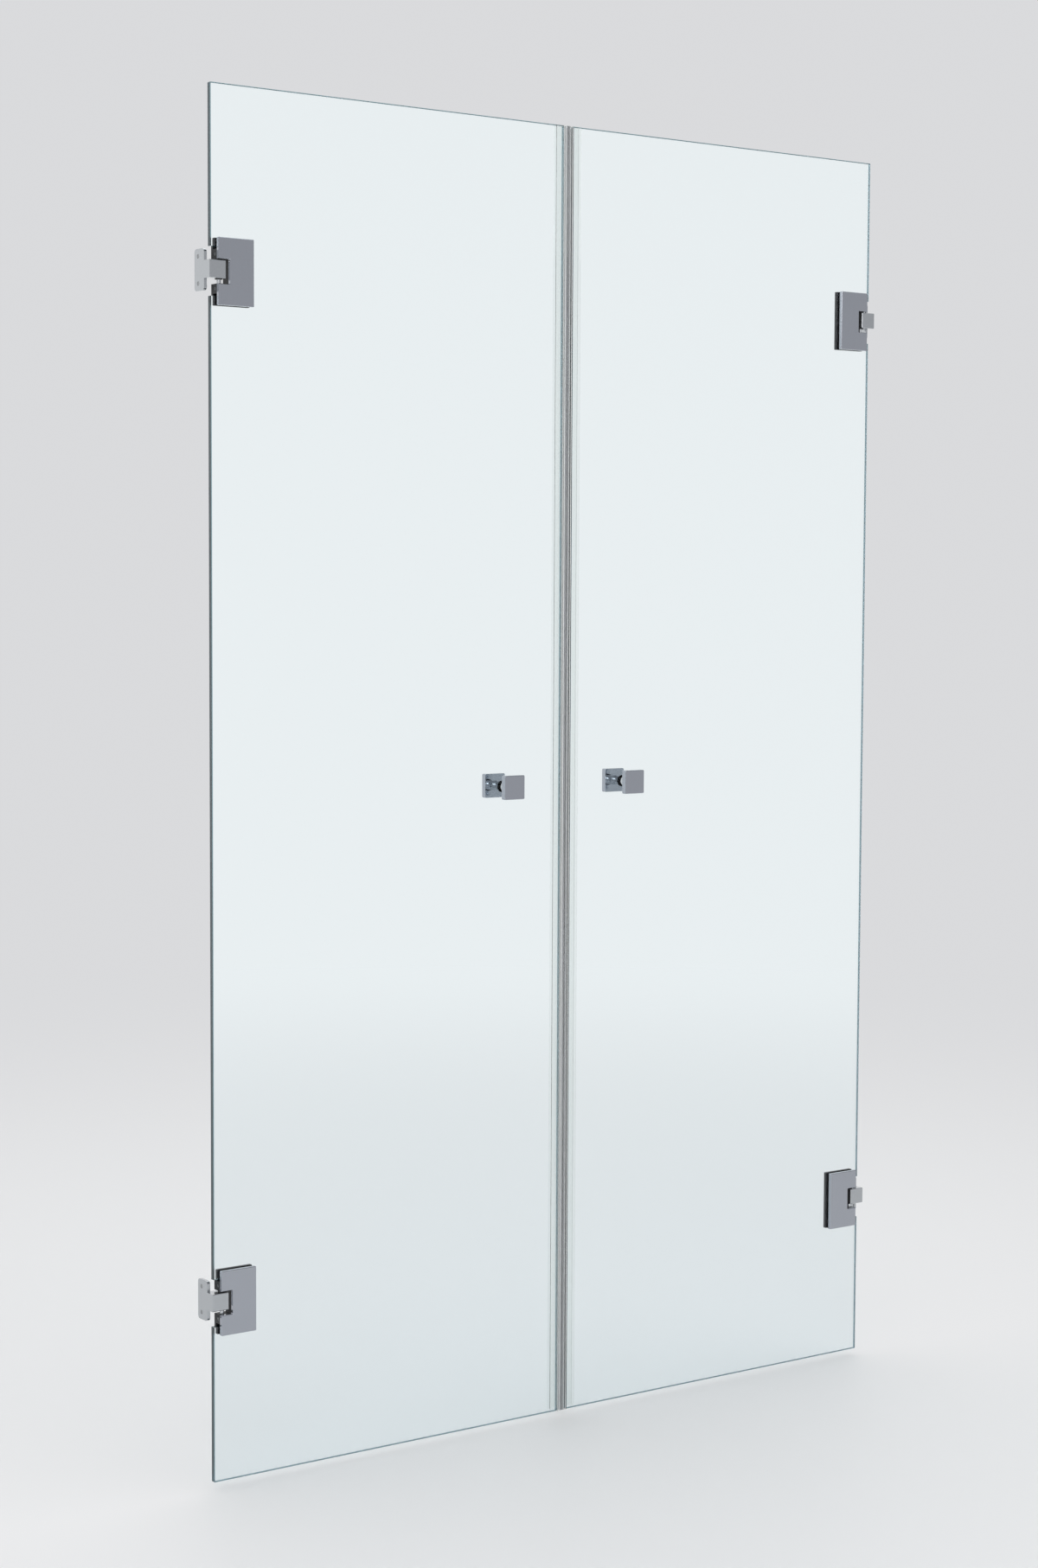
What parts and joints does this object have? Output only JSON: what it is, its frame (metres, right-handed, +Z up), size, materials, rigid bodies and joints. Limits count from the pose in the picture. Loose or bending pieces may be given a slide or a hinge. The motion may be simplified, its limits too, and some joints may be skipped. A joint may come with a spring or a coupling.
{
  "type": "double shower door",
  "caption": "Frameless double shower door for a niche: two clear glass leaves on square wall hinges, with magnetic meeting seals and square knobs",
  "frame": {"origin": "middle of the doorway, in the mid-plane of the glass, at the bottom edge of the glass", "axes": "+X along the doorway to the right seen from outside, +Y into the shower, +Z up"},
  "size_m": [1.204, 0.062, 1.9],
  "materials": {
    "clear_glass": "clear tempered glass, 8 mm, polished edges",
    "clear_seal": "clear soft PVC",
    "magnet_strip": "grey magnetic rubber",
    "satin_steel": "fine satin",
    "polished_steel": "polished",
    "pin_steel": "ground",
    "screw_steel": "plain",
    "black_gasket": "matte black",
    "black_plastic": "black acetal",
    "white_plastic": "natural acetal"
  },
  "bodies": {
    "wall_side": {"left_lower_hinge_bushes": "black_plastic", "left_lower_wall_bracket": "satin_steel", "left_upper_hinge_bushes": "black_plastic", "left_upper_wall_bracket": "satin_steel", "right_lower_hinge_bushes": "black_plastic", "right_lower_wall_bracket": "satin_steel", "right_upper_hinge_bushes": "black_plastic", "right_upper_wall_bracket": "satin_steel"},
    "left_leaf": {"left_glass": "clear_glass", "left_knob_gaskets": "black_gasket", "left_knob_inner_head": "satin_steel", "left_knob_inner_neck": "polished_steel", "left_knob_outer_head": "satin_steel", "left_knob_outer_neck": "polished_steel", "left_knob_sleeve": "white_plastic", "left_knob_stud": "screw_steel", "left_lower_clamp_screws": "screw_steel", "left_lower_inner_gasket": "black_gasket", "left_lower_inner_plate": "satin_steel", "left_lower_outer_gasket": "black_gasket", "left_lower_outer_plate": "satin_steel", "left_lower_pin_lock_screws": "screw_steel", "left_lower_pivot_pin": "pin_steel", "left_lower_thrust_washer": "black_plastic", "left_seal_magnet": "magnet_strip", "left_seal_profile": "clear_seal", "left_upper_clamp_screws": "screw_steel", "left_upper_inner_gasket": "black_gasket", "left_upper_inner_plate": "satin_steel", "left_upper_outer_gasket": "black_gasket", "left_upper_outer_plate": "satin_steel", "left_upper_pin_lock_screws": "screw_steel", "left_upper_pivot_pin": "pin_steel", "left_upper_thrust_washer": "black_plastic"},
    "right_leaf": {"right_glass": "clear_glass", "right_knob_gaskets": "black_gasket", "right_knob_inner_head": "satin_steel", "right_knob_inner_neck": "polished_steel", "right_knob_outer_head": "satin_steel", "right_knob_outer_neck": "polished_steel", "right_knob_sleeve": "white_plastic", "right_knob_stud": "screw_steel", "right_lower_clamp_screws": "screw_steel", "right_lower_inner_gasket": "black_gasket", "right_lower_inner_plate": "satin_steel", "right_lower_outer_gasket": "black_gasket", "right_lower_outer_plate": "satin_steel", "right_lower_pin_lock_screws": "screw_steel", "right_lower_pivot_pin": "pin_steel", "right_lower_thrust_washer": "black_plastic", "right_seal_magnet": "magnet_strip", "right_seal_profile": "clear_seal", "right_upper_clamp_screws": "screw_steel", "right_upper_inner_gasket": "black_gasket", "right_upper_inner_plate": "satin_steel", "right_upper_outer_gasket": "black_gasket", "right_upper_outer_plate": "satin_steel", "right_upper_pin_lock_screws": "screw_steel", "right_upper_pivot_pin": "pin_steel", "right_upper_thrust_washer": "black_plastic"}
  },
  "joints": [
    {"name": "left_leaf_swing", "type": "hinge", "parent": "wall_side", "child": "left_leaf", "pos_m": [-0.582, 0, 0.95], "axis": [0, 0, -1], "range_deg": [-90, 90]},
    {"name": "right_leaf_swing", "type": "hinge", "parent": "wall_side", "child": "right_leaf", "pos_m": [0.582, 0, 0.95], "axis": [0, 0, 1], "range_deg": [-90, 90]}
  ]
}
